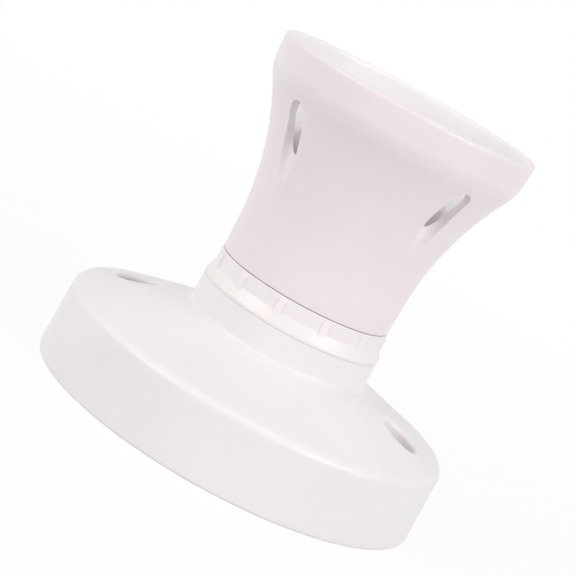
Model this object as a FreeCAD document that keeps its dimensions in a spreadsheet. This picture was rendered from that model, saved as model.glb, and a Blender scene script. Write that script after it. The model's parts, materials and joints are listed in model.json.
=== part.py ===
import FreeCAD, Part
import os
import Sketcher

# A surface-mounted screw lamp holder. The origin is the centre of the base's mounting
# plane, +Z points to the lamp and the two fixing wells lie on the X axis. Millimetres.

# Driving dimensions
DIMENSIONS = (
    # mounting base
    ("base_radius", 45.0, "mounting base, outer radius at the mounting plane"),
    ("base_draft", 0.4, "how far the side wall leans in over its height"),
    ("base_wall", 2.2, "thickness of the side wall"),
    ("base_shoulder", 16.4, "height of the side wall at the sharp corner"),
    ("roof_rise", 7.6, "how much the conical roof rises from the shoulder to the neck"),
    ("roof_wall", 2.2, "upright thickness of the roof"),
    ("shoulder_round", 1.9, "rounding of the shoulder"),
    ("base_edge_round", 0.6, "rounding of the lower outer edge"),
    ("neck_setback", 0.05, "how far the neck stands inside the core's flange"),
    ("neck_wall", 2.0, "thickness of the neck"),
    ("neck_height", 6.4, "height of the neck above the roof"),
    ("neck_foot_round", 1.0, "rounding where the neck meets the roof"),
    ("ledge_drop", 9.0, "depth of the ledge's underside below the roof's top"),
    ("ledge_thickness", 2.5, "thickness of the inner ledge"),
    ("wire_hole", 9.0, "radius of the wiring hole in the ledge"),
    ("rib_count", 8, "stiffening ribs under the roof"),
    ("rib_thickness", 1.4, "thickness of a stiffening rib"),
    ("rib_drop", 2.5, "depth of a rib's lower edge below the ledge"),
    # fixing wells
    ("fixing_spacing", 66.0, "distance between the two fixing holes"),
    ("fixing_hole", 2.25, "radius of a fixing hole"),
    ("well_radius", 4.5, "radius of the well round a fixing hole"),
    ("well_wall", 1.8, "wall of the tube round a well"),
    ("well_seat", 5.0, "height of the seat for the fixing screw's head"),
    # holder core
    ("spigot_clearance", 0.3, "gap between the core's spigot and the neck"),
    ("spigot_depth", 4.4, "how far the spigot reaches into the neck"),
    ("spigot_wall", 2.2, "thickness of the spigot"),
    ("flange_height", 0.8, "height of the flange's straight edge"),
    ("slope_height", 2.4, "height of the slope from the flange up to the ring"),
    ("slope_run", 1.0, "how far the slope draws in"),
    ("ring_round", 0.3, "rounding of the flange's lower and the ring's upper edge"),
    ("ring_ledge", 2.3, "how far the ring stands out of the thread"),
    ("ring_height", 3.3, "height of the ring above the slope"),
    ("grip_count", 12, "upright ribs round the ring"),
    ("grip_width", 1.7, "width of a rib on the ring"),
    ("grip_proud", 0.35, "how far a rib stands out of the ring"),
    ("grip_gap", 0.5, "distance of a rib's top below the ring's top"),
    ("grip_turn", 0.5, "angle of the first rib from the X axis"),
    ("thread_step", 0.2, "how far the thread that takes the skirt stands out of the barrel"),
    ("thread_length", 10.0, "length of that thread"),
    ("barrel_wall", 3.65, "wall of the barrel above the thread"),
    ("barrel_height", 28.0, "height of the barrel above the core's floor"),
    ("floor_rise", 2.1, "height of the core's floor above the ring"),
    ("floor_thickness", 3.0, "thickness of the core's floor"),
    ("barrier_width", 1.2, "thickness of the barrier between the terminals"),
    ("barrier_length", 13.0, "length of the barrier between the terminals"),
    ("barrier_depth", 6.0, "depth of the barrier below the floor"),
    ("boss_inset", 2.7, "distance of a core screw inside the chamber's wall"),
    ("boss_radius", 3.2, "radius of a screw boss under the core's floor"),
    # screw shell
    ("shell_clearance", 0.3, "gap between the screw shell and the core"),
    ("shell_bore", 13.25, "inner radius of the shell at the root of its thread"),
    ("shell_sheet", 0.3, "sheet of the screw shell"),
    ("shell_top_gap", 2.0, "depth of the shell's mouth below the core's rim"),
    ("shell_foot_inset", 0.65, "how much narrower the shell's plain foot is"),
    ("shell_foot_height", 5.7, "height of the plain foot"),
    ("shell_step_height", 0.8, "height of the step from the foot to the thread"),
    ("shell_floor_rim", 2.0, "width of the shell's floor inside its rivets"),
    # centre contact
    ("leaf_sheet", 0.4, "sheet of the contact leaf"),
    ("leaf_width", 5.0, "width of the contact leaf"),
    ("leaf_foot_start", 1.8, "where the leaf's foot begins, from the axis"),
    ("leaf_bend_centre", 5.0, "where the leaf folds back, from the axis"),
    ("leaf_rise", 3.4, "height of the folded leaf"),
    ("leaf_tip", 3.2, "how far the leaf reaches past the axis"),
    ("pip_radius", 2.4, "radius of the contact pip's head"),
    ("pip_height", 1.2, "height of the contact pip's head"),
    ("pip_shank", 0.9, "radius of the pip's shank"),
    ("pip_tail", 1.5, "radius of the pip's tail below the leaf"),
    ("pip_tail_height", 0.8, "height of the pip's tail"),
    # rivets
    ("rivet_shank", 0.85, "radius of a rivet's shank"),
    ("rivet_head", 1.35, "radius of a rivet's heads"),
    ("rivet_head_height", 0.7, "height of a rivet's heads"),
    ("fit_clearance", 0.02, "gap between a shank and its hole"),
    ("leaf_rivet_offset", 3.6, "distance of the leaf's rivet from the axis"),
    ("shell_rivet_inset", 2.25, "distance of the shell's rivets inside its thread"),
    # terminals
    ("strip_sheet", 0.8, "sheet of the terminal strips"),
    ("strip_length", 12.8, "length of a terminal strip"),
    ("strip_gap", 3.4, "gap between a terminal strip's end and the chamber's wall"),
    ("live_strip_start", 1.9, "inner end of the live strip, from the axis"),
    ("neutral_strip_start", 3.0, "inner end of the neutral strip, from the axis"),
    ("live_screw_inset", 3.4, "distance of the live clamp screws from their strip's end"),
    ("neutral_screw_inset", 4.8, "distance of the neutral clamp screws from their rivet"),
    ("clamp_pitch", 6.8, "distance between the two clamp screws of a strip"),
    ("plate_side", 5.6, "side of a clamp plate"),
    ("plate_sheet", 0.9, "sheet of a clamp plate"),
    ("clamp_shank", 1.5, "radius of a clamp screw's shank"),
    ("clamp_shank_length", 3.6, "length of a clamp screw's shank"),
    ("clamp_head", 2.6, "radius of a clamp screw's head"),
    ("clamp_head_height", 2.0, "height of a clamp screw's head"),
    # core screws
    ("core_screw_shank", 1.45, "radius of a core screw's shank"),
    ("core_screw_length", 13.0, "length of a core screw's shank"),
    ("core_screw_head", 3.0, "radius of a core screw's head"),
    ("core_screw_head_height", 2.1, "height of a core screw's head"),
    ("core_screw_hole", 1.9, "radius of the screw's hole in the ledge"),
    ("slot_width", 0.7, "width of a screwdriver slot"),
    ("slot_depth", 0.9, "depth of a screwdriver slot"),
    # flared skirt
    ("skirt_gap", 0.15, "gap between the ring's top and the skirt"),
    ("skirt_clearance", 0.38, "gap between the skirt and the core's thread"),
    ("skirt_wall", 1.75, "wall of the skirt"),
    ("waist_lean", 0.19, "how far the waist leans out below the flare"),
    ("waist_height", 5.15, "height of the straight waist"),
    ("flare_height", 32.6, "height of the trumpet curve"),
    ("flare_growth", 8.48, "how much the radius grows over the curve"),
    ("lip_step", 0.84, "step from the curve out to the lip band"),
    ("lip_step_height", 2.3, "height of that step"),
    ("lip_height", 6.6, "height of the lip band"),
    ("lip_lean", 0.43, "how far the lip band leans out"),
    ("lip_wall", 1.7, "wall of the lip band"),
    ("rim_round", 0.5, "rounding of the rim's edges"),
    ("skirt_foot_round", 0.2, "rounding of the skirt's lower edge"),
    ("vent_count", 4, "vents round the skirt"),
    ("vent_turn", -36.5, "angle of the first vent from the X axis"),
    ("vent_half_width", 2.45, "half the width of a vent"),
    ("vent_depth", 1.5, "how far a vent channel's floor stands out of the waist"),
    ("vent_lip_gap", 1.4, "distance of a vent's arched top below the end of the curve"),
)

doc = FreeCAD.newDocument("lamp_holder")
sheet = doc.addObject("Spreadsheet::Sheet", "Sizes")
for row, (alias, number, meaning) in enumerate(DIMENSIONS, start=1):
    sheet.set(f"A{row}", meaning)
    sheet.set(f"B{row}", str(number))
    sheet.setAlias(f"B{row}", alias)
doc.recompute()


class Size:
    """A length with its value and the formula that ties it to the sheet."""

    def __init__(self, value, formula):
        self.value = value
        self.formula = formula

    def __add__(self, other):
        other = as_size(other)
        return Size(self.value + other.value, f"({self.formula} + {other.formula})")

    def __sub__(self, other):
        other = as_size(other)
        return Size(self.value - other.value, f"({self.formula} - {other.formula})")

    def __mul__(self, other):
        other = as_size(other)
        return Size(self.value * other.value, f"({self.formula} * {other.formula})")

    def __truediv__(self, other):
        other = as_size(other)
        return Size(self.value / other.value, f"({self.formula} / {other.formula})")

    def __neg__(self):
        return Size(-self.value, f"(0 - {self.formula})")


def as_size(number):
    """A plain number counts as a size that follows nothing."""
    return number if isinstance(number, Size) else Size(number, str(number))


class Sizes:
    """Reads a size by its name in the sheet."""

    def __getattr__(self, alias):
        return Size(float(sheet.get(alias)), "Sizes." + alias)


dims = Sizes()
ZERO = as_size(0)
SEAM_ANGLE = as_size(16)
UP = FreeCAD.Vector(0, 0, 1)


# Sketches

def new_body(label):
    body = doc.addObject("PartDesign::Body", label)
    body.Label = label
    return body


def origin_feature(body, role):
    for feature in body.Origin.OriginFeatures:
        if feature.Role == role:
            return feature


def new_sketch(body, name, plane, lift=ZERO, turn=ZERO):
    """A sketch on one of the body's own planes, lifted along the plane's normal and
    turned about it."""
    sketch = body.newObject("Sketcher::SketchObject", name)
    sketch.AttachmentSupport = (origin_feature(body, plane), "")
    sketch.MapMode = "FlatFace"
    sketch.AttachmentOffset = FreeCAD.Placement(UP * lift.value, FreeCAD.Rotation(UP, turn.value))
    sketch.setExpression("AttachmentOffset.Base.z", lift.formula)
    if turn.value:
        sketch.setExpression("AttachmentOffset.Rotation.Angle", turn.formula)
    return sketch


def bind(sketch, constraint, size):
    sketch.setExpression(f"Constraints[{sketch.addConstraint(constraint)}]", size.formula)


def hold(sketch, edge, point, across, up):
    """Holds a point of an edge at its distances across and up from the origin."""
    for kind, axis, size in (("DistanceX", -2, across), ("DistanceY", -1, up)):
        if size is None:
            continue
        if size.value == 0:
            sketch.addConstraint(Sketcher.Constraint("PointOnObject", edge, point, axis))
        elif size.value > 0:
            bind(sketch, Sketcher.Constraint(kind, -1, 1, edge, point, size.value), size)
        else:
            bind(sketch, Sketcher.Constraint(kind, edge, point, -1, 1, -size.value), -size)


def draw_arc(sketch, start, end, centre):
    """Adds the short arc between two points and says which of its ends is the start."""
    circle = Part.Circle(centre, UP, (start - centre).Length)
    turns_left = (start - centre).cross(end - centre).z > 0
    first, last = (start, end) if turns_left else (end, start)
    arc = Part.ArcOfCircle(circle, circle.parameter(first), circle.parameter(last))
    sketch.addGeometry(arc)
    return (1, 2) if turns_left else (2, 1)


def sits_beside(point, centre):
    """True where a point on an arc lies more beside its centre than above or below it."""
    return abs(point[0].value - centre[0].value) > abs(point[1].value - centre[1].value)


def on_arc(previous, corner, centre):
    """Where an arc that starts at the previous point reaches the next corner's height,
    or its distance across where the corner lies above or below the centre."""
    middle = FreeCAD.Vector(centre[0].value, centre[1].value)
    radius = (previous - middle).Length
    across = corner[0].value - middle.x
    up = corner[1].value - middle.y
    if sits_beside(corner, centre):
        reach = (radius ** 2 - up ** 2) ** 0.5
        return middle + FreeCAD.Vector(reach if across > 0 else -reach, up)
    reach = (radius ** 2 - across ** 2) ** 0.5
    return middle + FreeCAD.Vector(across, reach if up > 0 else -reach)


def draw_outline(sketch, corners, bends=None):
    """A closed outline. The edge after a corner that is named in bends is an arc about
    the centre given there, and the arc's far corner slides along it to its place."""
    bends = bends or {}
    points = []
    for index, (across, up) in enumerate(corners):
        if index - 1 in bends:
            points.append(on_arc(points[-1], corners[index], bends[index - 1]))
        else:
            points.append(FreeCAD.Vector(across.value, up.value))
    ends = []
    for index, start in enumerate(points):
        end = points[(index + 1) % len(points)]
        if index in bends:
            centre = FreeCAD.Vector(bends[index][0].value, bends[index][1].value)
            ends.append(draw_arc(sketch, start, end, centre))
        else:
            sketch.addGeometry(Part.LineSegment(start, end))
            ends.append((1, 2))
    for index, (start_point, end_point) in enumerate(ends):
        following = (index + 1) % len(ends)
        sketch.addConstraint(Sketcher.Constraint(
            "Coincident", index, end_point, following, ends[following][0]))
        across, up = corners[index]
        if index - 1 in bends:
            if sits_beside(corners[index], bends[index - 1]):
                across = None
            else:
                up = None
        hold(sketch, index, start_point, across, up)
    for index, (across, up) in bends.items():
        hold(sketch, index, 3, across, up)


def draw_circle(sketch, across, up, radius):
    centre = FreeCAD.Vector(across.value, up.value)
    edge = sketch.addGeometry(Part.Circle(centre, UP, radius.value))
    bind(sketch, Sketcher.Constraint("Radius", edge, radius.value), radius)
    hold(sketch, edge, 3, across, up)


def draw_rectangle(sketch, left, right, low, high):
    draw_outline(sketch, [(left, low), (right, low), (right, high), (left, high)])


# Features

def swing_section(sketch, angle):
    """Swings an upright section about the Z axis."""
    swing = FreeCAD.Rotation(FreeCAD.Vector(0, 1, 0), angle.value)
    sketch.AttachmentOffset = FreeCAD.Placement(FreeCAD.Vector(), swing)
    sketch.setExpression("AttachmentOffset.Rotation.Angle", angle.formula)


def revolve(body, name, corners, bends=None):
    """Turns a closed section about the Z axis, with its seam clear of wells and vents."""
    sketch = new_sketch(body, name + "_section", "XZ_Plane")
    swing_section(sketch, SEAM_ANGLE)
    draw_outline(sketch, corners, bends)
    feature = body.newObject("PartDesign::Revolution", name)
    feature.Profile = sketch
    feature.ReferenceAxis = (sketch, ["V_Axis"])
    feature.Angle = 360
    return feature


def pad(body, name, sketch, height, both_ways=False):
    feature = body.newObject("PartDesign::Pad", name)
    feature.Profile = sketch
    if both_ways:
        feature.SideType = "Symmetric"
    feature.setExpression("Length", height.formula)
    return feature


def pocket(body, name, sketch, depth=None):
    """Cuts away along the sketch's normal, to a depth or right through."""
    feature = body.newObject("PartDesign::Pocket", name)
    feature.Profile = sketch
    feature.Reversed = True
    if depth is None:
        feature.Type = "ThroughAll"
    else:
        feature.setExpression("Length", depth.formula)
    return feature


def polar(body, name, originals, count):
    """Repeats features round the Z axis."""
    feature = body.newObject("PartDesign::PolarPattern", name)
    feature.Originals = originals
    feature.Axis = (origin_feature(body, "Z_Axis"), [""])
    feature.Angle = 360
    feature.Occurrences = int(count.value)
    feature.setExpression("Occurrences", count.formula)
    body.Tip = feature
    return feature


def soften(body, name, radius, rings):
    """Rounds the edges that run round the Z axis at the given radii and heights."""
    doc.recompute()
    tip = body.Tip
    names = []
    for number, edge in enumerate(tip.Shape.Edges, start=1):
        curve = edge.Curve
        if curve.TypeId != "Part::GeomCircle" or abs(curve.Center.x) + abs(curve.Center.y) > 0.01:
            continue
        for ring_radius, height in rings:
            near = abs(curve.Radius - ring_radius.value) + abs(curve.Center.z - height.value)
            if near < 0.01:
                names.append(f"Edge{number}")
    if len(names) < len(rings):
        raise RuntimeError(f"{name}: {len(names)} edges found of {len(rings)}")
    feature = body.newObject("PartDesign::Fillet", name)
    feature.Base = (tip, names)
    feature.Radius = radius.value
    feature.setExpression("Radius", radius.formula)
    return feature


def place(body, across=ZERO, along=ZERO, up=ZERO):
    """Puts a body made about its own origin where it belongs."""
    for axis, size in (("x", across), ("y", along), ("z", up)):
        body.setExpression(f"Placement.Base.{axis}", size.formula)
    return body


# Radii that several pieces share, from the lamp's shell outwards
shell_outer = dims.shell_bore + dims.shell_sheet
core_bore = shell_outer + dims.shell_clearance
barrel_radius = core_bore + dims.barrel_wall
thread_radius = barrel_radius + dims.thread_step
ring_radius = thread_radius + dims.ring_ledge
flange_radius = ring_radius + dims.slope_run
neck_radius = flange_radius - dims.neck_setback
neck_bore = neck_radius - dims.neck_wall
spigot_radius = neck_bore - dims.spigot_clearance
chamber_radius = spigot_radius - dims.spigot_wall
boss_offset = chamber_radius - dims.boss_inset
rivet_circle = dims.shell_bore - dims.shell_rivet_inset
rivet_across = rivet_circle * 0.5
rivet_along = rivet_circle * 0.75 ** 0.5
rivet_hole = dims.rivet_shank + dims.fit_clearance
strip_reach = chamber_radius - dims.strip_gap
live_screw_across = strip_reach - dims.live_screw_inset
neutral_screw_across = dims.neutral_screw_inset - rivet_circle
half_pitch = dims.clamp_pitch / 2
fixing_offset = dims.fixing_spacing / 2

# Heights that several pieces share, from the mounting plane upwards
roof_top = dims.base_shoulder + dims.roof_rise
ledge_bottom = roof_top - dims.ledge_drop
ledge_top = ledge_bottom + dims.ledge_thickness
neck_top = roof_top + dims.neck_height
flange_top = neck_top + dims.flange_height
slope_top = flange_top + dims.slope_height
ring_top = slope_top + dims.ring_height
thread_top = ring_top + dims.thread_length
floor_top = ring_top + dims.floor_rise
floor_bottom = floor_top - dims.floor_thickness
core_top = floor_top + dims.barrel_height
strip_bottom = floor_bottom - dims.strip_sheet
skirt_bottom = ring_top + dims.skirt_gap


def make_base():
    """The mounting base: a hollow moulding, open at the back."""
    body = new_body("mounting_base")
    inner_foot = dims.base_radius - dims.base_wall
    shoulder = dims.base_radius - dims.base_draft
    roof_slope = dims.roof_rise / (shoulder - neck_radius)
    revolve(body, "hollow_moulding", [
        (inner_foot, ZERO),
        (dims.base_radius, ZERO),
        (shoulder, dims.base_shoulder),
        (neck_radius, roof_top),
        (neck_radius, neck_top),
        (neck_bore, neck_top),
        (neck_bore, ledge_top),
        (dims.wire_hole, ledge_top),
        (dims.wire_hole, ledge_bottom),
        (neck_radius, ledge_bottom),
        (neck_radius, roof_top - dims.roof_wall),
        (inner_foot - dims.base_draft,
         dims.base_shoulder - dims.roof_wall + roof_slope * dims.base_wall),
    ])
    soften(body, "shoulder", dims.shoulder_round, [(shoulder, dims.base_shoulder)])
    soften(body, "neck_foot", dims.neck_foot_round, [(neck_radius, roof_top)])
    soften(body, "lower_edge", dims.base_edge_round, [(dims.base_radius, ZERO)])
    # A tube stands round each fixing hole, from the mounting plane into the roof, and
    # what stands above the roof is cut off along the cone.
    tube_radius = dims.well_radius + dims.well_wall
    tube = new_sketch(body, "well_tube_plan", "XY_Plane")
    draw_circle(tube, fixing_offset, ZERO, tube_radius)
    tube_pad = pad(body, "well_tube", tube, roof_top)
    polar(body, "well_tubes", [tube_pad], as_size(2))
    cap = new_sketch(body, "roof_trim_section", "XZ_Plane")
    swing_section(cap, SEAM_ANGLE)
    near = fixing_offset - tube_radius - dims.well_wall / 2
    far = fixing_offset + tube_radius + dims.well_wall / 2
    draw_outline(cap, [
        (near, dims.base_shoulder + roof_slope * (shoulder - near)),
        (far, dims.base_shoulder + roof_slope * (shoulder - far)),
        (far, neck_top),
        (near, neck_top),
    ])
    trim = body.newObject("PartDesign::Groove", "roof_trim")
    trim.Profile = cap
    trim.ReferenceAxis = (cap, ["V_Axis"])
    trim.Angle = 360
    # Ribs run under the roof from the neck to the side wall, between the wells.
    rib = new_sketch(body, "rib_section", "XZ_Plane")
    swing_section(rib, as_size(180) / dims.rib_count)
    rib_start = neck_radius - dims.neck_wall / 2
    rib_bottom = ledge_bottom - dims.rib_drop
    in_roof = roof_top - dims.roof_wall / 2
    draw_outline(rib, [
        (rib_start, rib_bottom),
        (inner_foot, rib_bottom),
        (inner_foot, in_roof - roof_slope * (inner_foot - rib_start)),
        (rib_start, in_roof),
    ])
    rib_pad = pad(body, "rib", rib, dims.rib_thickness, both_ways=True)
    polar(body, "ribs", [rib_pad], dims.rib_count)
    # The well is open above and ends in the seat of the fixing screw.
    well = new_sketch(body, "well_plan", "XY_Plane", dims.well_seat)
    draw_circle(well, fixing_offset, ZERO, dims.well_radius)
    well_cut = pocket(body, "well", well)
    hole = new_sketch(body, "fixing_hole_plan", "XY_Plane")
    draw_circle(hole, fixing_offset, ZERO, dims.fixing_hole)
    hole_cut = pocket(body, "fixing_hole", hole)
    polar(body, "wells", [well_cut, hole_cut], as_size(2))
    screw_holes = new_sketch(body, "ledge_hole_plan", "XY_Plane")
    draw_circle(screw_holes, ZERO, boss_offset, dims.core_screw_hole)
    draw_circle(screw_holes, ZERO, -boss_offset, dims.core_screw_hole)
    pocket(body, "ledge_holes", screw_holes, ledge_top)
    return body


def make_core():
    """The insulating core: flange, ribbed ring, thread, barrel, floor and screw bosses."""
    body = new_body("holder_core")
    spigot_bottom = neck_top - dims.spigot_depth
    revolve(body, "core_moulding", [
        (chamber_radius, spigot_bottom),
        (spigot_radius, spigot_bottom),
        (spigot_radius, neck_top),
        (flange_radius, neck_top),
        (flange_radius, flange_top),
        (ring_radius, slope_top),
        (ring_radius, ring_top),
        (thread_radius, ring_top),
        (thread_radius, thread_top),
        (barrel_radius, thread_top),
        (barrel_radius, core_top),
        (core_bore, core_top),
        (core_bore, floor_top),
        (ZERO, floor_top),
        (ZERO, floor_bottom),
        (chamber_radius, floor_bottom),
    ])
    soften(body, "ring_edges", dims.ring_round,
           [(flange_radius, neck_top), (ring_radius, ring_top)])
    # Small ribs for the fingers grow out of the slope and end below the ring's top.
    grip = new_sketch(body, "grip_plan", "XY_Plane", flange_top, dims.grip_turn)
    half_grip = dims.grip_width / 2
    draw_rectangle(grip, ring_radius - dims.grip_proud,
                   ring_radius + dims.grip_proud, -half_grip, half_grip)
    grip_pad = pad(body, "grip", grip, ring_top - flange_top - dims.grip_gap)
    polar(body, "grips", [grip_pad], dims.grip_count)
    # Two bosses reach down to the base's ledge.
    bosses = new_sketch(body, "boss_plan", "XY_Plane", ledge_top)
    draw_circle(bosses, ZERO, boss_offset, dims.boss_radius)
    draw_circle(bosses, ZERO, -boss_offset, dims.boss_radius)
    pad(body, "bosses", bosses, floor_bottom - ledge_top)
    pilots = new_sketch(body, "pilot_plan", "XY_Plane", ledge_top)
    pilot_radius = dims.core_screw_shank + dims.fit_clearance
    draw_circle(pilots, ZERO, boss_offset, pilot_radius)
    draw_circle(pilots, ZERO, -boss_offset, pilot_radius)
    pocket(body, "pilot_holes", pilots, dims.core_screw_length)
    # A barrier keeps the live and neutral strips apart.
    barrier = new_sketch(body, "barrier_plan", "XY_Plane", floor_bottom - dims.barrier_depth)
    half_width = dims.barrier_width / 2
    half_length = dims.barrier_length / 2
    draw_rectangle(barrier, -half_width, half_width, -half_length, half_length)
    pad(body, "barrier", barrier, dims.barrier_depth)
    # Rivets pass through the floor, and the clamp screws end inside it.
    rivets = new_sketch(body, "rivet_hole_plan", "XY_Plane", floor_bottom)
    draw_circle(rivets, dims.leaf_rivet_offset, ZERO, rivet_hole)
    draw_circle(rivets, -rivet_circle, ZERO, rivet_hole)
    draw_circle(rivets, rivet_across, rivet_along, rivet_hole)
    draw_circle(rivets, rivet_across, -rivet_along, rivet_hole)
    pocket(body, "rivet_holes", rivets, dims.floor_thickness)
    screws = new_sketch(body, "clamp_hole_plan", "XY_Plane", floor_bottom)
    for across in (live_screw_across, neutral_screw_across):
        for along in (half_pitch, -half_pitch):
            draw_circle(screws, across, along, dims.clamp_shank + dims.fit_clearance)
    engaged = dims.clamp_shank_length - dims.plate_sheet - dims.strip_sheet
    pocket(body, "clamp_holes", screws, engaged)
    return body


def make_skirt():
    """The flared skirt, turned about the axis, with its axis-parallel vent channels."""
    body = new_body("flared_skirt")
    bore = thread_radius + dims.skirt_clearance
    waist_foot = bore + dims.skirt_wall
    waist = waist_foot + dims.waist_lean
    waist_top = skirt_bottom + dims.waist_height
    flare_radius = (dims.flare_height * dims.flare_height
                    + dims.flare_growth * dims.flare_growth) / (dims.flare_growth * 2)
    centre = (waist + flare_radius, waist_top)
    lip_foot = waist + dims.flare_growth
    flare_top = waist_top + dims.flare_height
    lip_bottom = flare_top + dims.lip_step_height
    rim = lip_bottom + dims.lip_height
    lip = lip_foot + dims.lip_step
    rim_radius = lip + dims.lip_lean
    revolve(body, "trumpet", [
        (bore, skirt_bottom),
        (waist_foot, skirt_bottom),
        (waist, waist_top),
        (lip_foot, flare_top),
        (lip, lip_bottom),
        (rim_radius, rim),
        (rim_radius - dims.lip_wall, rim),
        (lip - dims.lip_wall, lip_bottom),
        (lip_foot - dims.skirt_wall, flare_top),
        (waist - dims.skirt_wall, waist_top),
    ], bends={2: centre, 8: centre})
    soften(body, "rim_edges", dims.rim_round,
           [(rim_radius, rim), (rim_radius - dims.lip_wall, rim)])
    soften(body, "foot_edge", dims.skirt_foot_round, [(waist_foot, skirt_bottom)])
    # A vent is a round-bottomed channel parallel to the axis. It breaks out through the
    # wall where the flare passes its floor, and ends in an arch below the lip.
    middle = waist + dims.vent_depth + dims.vent_half_width
    spring = flare_top - dims.vent_lip_gap - dims.vent_half_width
    run = spring - waist_top
    floor_plan = new_sketch(body, "vent_floor_plan", "XY_Plane", waist_top)
    draw_circle(floor_plan, middle, ZERO, dims.vent_half_width)
    floor_cut = pocket(body, "vent_floor", floor_plan, run)
    sides = new_sketch(body, "vent_side_plan", "XY_Plane", waist_top)
    draw_rectangle(sides, middle, rim_radius, -dims.vent_half_width, dims.vent_half_width)
    side_cut = pocket(body, "vent_sides", sides, run)
    arch = new_sketch(body, "vent_arch_outline", "YZ_Plane", middle)
    draw_circle(arch, ZERO, spring, dims.vent_half_width)
    arch_cut = pocket(body, "vent_arch", arch)
    polar(body, "vents", [floor_cut, side_cut, arch_cut], dims.vent_count)
    body.Placement = FreeCAD.Placement(
        FreeCAD.Vector(), FreeCAD.Rotation(UP, dims.vent_turn.value))
    body.setExpression("Placement.Rotation.Angle", dims.vent_turn.formula)
    return body


def make_shell():
    """The drawn metal shell: floor ring, plain foot, step and thread wall."""
    body = new_body("screw_shell")
    foot_outer = shell_outer - dims.shell_foot_inset
    foot_inner = foot_outer - dims.shell_sheet
    floor_upper = floor_top + dims.shell_sheet
    floor_hole = rivet_circle - dims.shell_floor_rim
    foot_top = floor_top + dims.shell_foot_height
    step_top = foot_top + dims.shell_step_height
    mouth = core_top - dims.shell_top_gap
    revolve(body, "drawn_shell", [
        (floor_hole, floor_top),
        (foot_outer, floor_top),
        (foot_outer, foot_top),
        (shell_outer, step_top),
        (shell_outer, mouth),
        (dims.shell_bore, mouth),
        (dims.shell_bore, step_top),
        (foot_inner, foot_top),
        (foot_inner, floor_upper),
        (floor_hole, floor_upper),
    ])
    holes = new_sketch(body, "shell_hole_plan", "XY_Plane", floor_top)
    draw_circle(holes, -rivet_circle, ZERO, rivet_hole)
    draw_circle(holes, rivet_across, rivet_along, rivet_hole)
    draw_circle(holes, rivet_across, -rivet_along, rivet_hole)
    pocket(body, "shell_holes", holes, dims.shell_sheet)
    return body


def make_leaf():
    """The centre contact: a sprung strip folded back over its riveted foot."""
    body = new_body("contact_leaf")
    foot = floor_top
    fold = dims.leaf_bend_centre
    middle = foot + dims.leaf_rise / 2
    top = foot + dims.leaf_rise
    outer = dims.leaf_rise / 2
    inner = outer - dims.leaf_sheet
    centre = (fold, middle)
    side = new_sketch(body, "leaf_outline", "XZ_Plane")
    draw_outline(side, [
        (dims.leaf_foot_start, foot),
        (fold, foot),
        (fold + outer, middle),
        (fold, top),
        (-dims.leaf_tip, top),
        (-dims.leaf_tip, top - dims.leaf_sheet),
        (fold, top - dims.leaf_sheet),
        (fold + inner, middle),
        (fold, foot + dims.leaf_sheet),
        (dims.leaf_foot_start, foot + dims.leaf_sheet),
    ], bends={1: centre, 2: centre, 6: centre, 7: centre})
    pad(body, "folded_leaf", side, dims.leaf_width, both_ways=True)
    foot_hole = new_sketch(body, "foot_hole_plan", "XY_Plane", foot)
    draw_circle(foot_hole, dims.leaf_rivet_offset, ZERO, rivet_hole)
    pocket(body, "foot_hole", foot_hole, dims.leaf_sheet)
    pip_hole = new_sketch(body, "pip_hole_plan", "XY_Plane", top - dims.leaf_sheet)
    draw_circle(pip_hole, ZERO, ZERO, dims.pip_shank + dims.fit_clearance)
    pocket(body, "pip_hole", pip_hole, dims.leaf_sheet)
    return body


def make_pip():
    """The contact pip, riveted in the leaf's free end. Its own origin is on the leaf."""
    body = new_body("contact_pip")
    under = -dims.leaf_sheet
    tail = under - dims.pip_tail_height
    crown = dims.pip_radius / 2
    revolve(body, "pip", [
        (ZERO, tail),
        (dims.pip_tail, tail),
        (dims.pip_tail, under),
        (dims.pip_shank, under),
        (dims.pip_shank, ZERO),
        (dims.pip_radius, ZERO),
        (dims.pip_radius, dims.pip_height / 2),
        (crown, dims.pip_height),
        (ZERO, dims.pip_height),
    ])
    return place(body, up=floor_top + dims.leaf_rise)


def make_rivet(label, across, along, low, high):
    """A rivet that holds what lies between two heights."""
    body = new_body(label)
    grip = high - low
    revolve(body, label + "_form", [
        (ZERO, -dims.rivet_head_height),
        (dims.rivet_head, -dims.rivet_head_height),
        (dims.rivet_head, ZERO),
        (dims.rivet_shank, ZERO),
        (dims.rivet_shank, grip),
        (dims.rivet_head, grip),
        (dims.rivet_head, grip + dims.rivet_head_height),
        (ZERO, grip + dims.rivet_head_height),
    ])
    return place(body, across, along, low)


def make_strip(label, near, far, screw_across, rivet_across):
    """A terminal strip against the underside of the core's floor."""
    body = new_body(label)
    plan = new_sketch(body, label + "_plan", "XY_Plane", strip_bottom)
    half = dims.strip_length / 2
    draw_rectangle(plan, near, far, -half, half)
    strip = pad(body, label + "_strip", plan, dims.strip_sheet)
    holes = new_sketch(body, label + "_hole_plan", "XY_Plane", strip_bottom)
    draw_circle(holes, rivet_across, ZERO, rivet_hole)
    draw_circle(holes, screw_across, half_pitch, dims.clamp_shank + dims.fit_clearance)
    draw_circle(holes, screw_across, -half_pitch, dims.clamp_shank + dims.fit_clearance)
    pocket(body, label + "_holes", holes, dims.strip_sheet)
    return strip


def make_clamp_plate(label, across, along):
    """A square plate that presses the wire against the strip."""
    body = new_body(label)
    plan = new_sketch(body, label + "_plan", "XY_Plane")
    half = dims.plate_side / 2
    draw_rectangle(plan, -half, half, -half, half)
    pad(body, label + "_square", plan, dims.plate_sheet)
    hole = new_sketch(body, label + "_hole_plan", "XY_Plane")
    draw_circle(hole, ZERO, ZERO, dims.clamp_shank + dims.fit_clearance)
    pocket(body, label + "_hole", hole, dims.plate_sheet)
    return place(body, across, along, strip_bottom - dims.plate_sheet)


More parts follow.
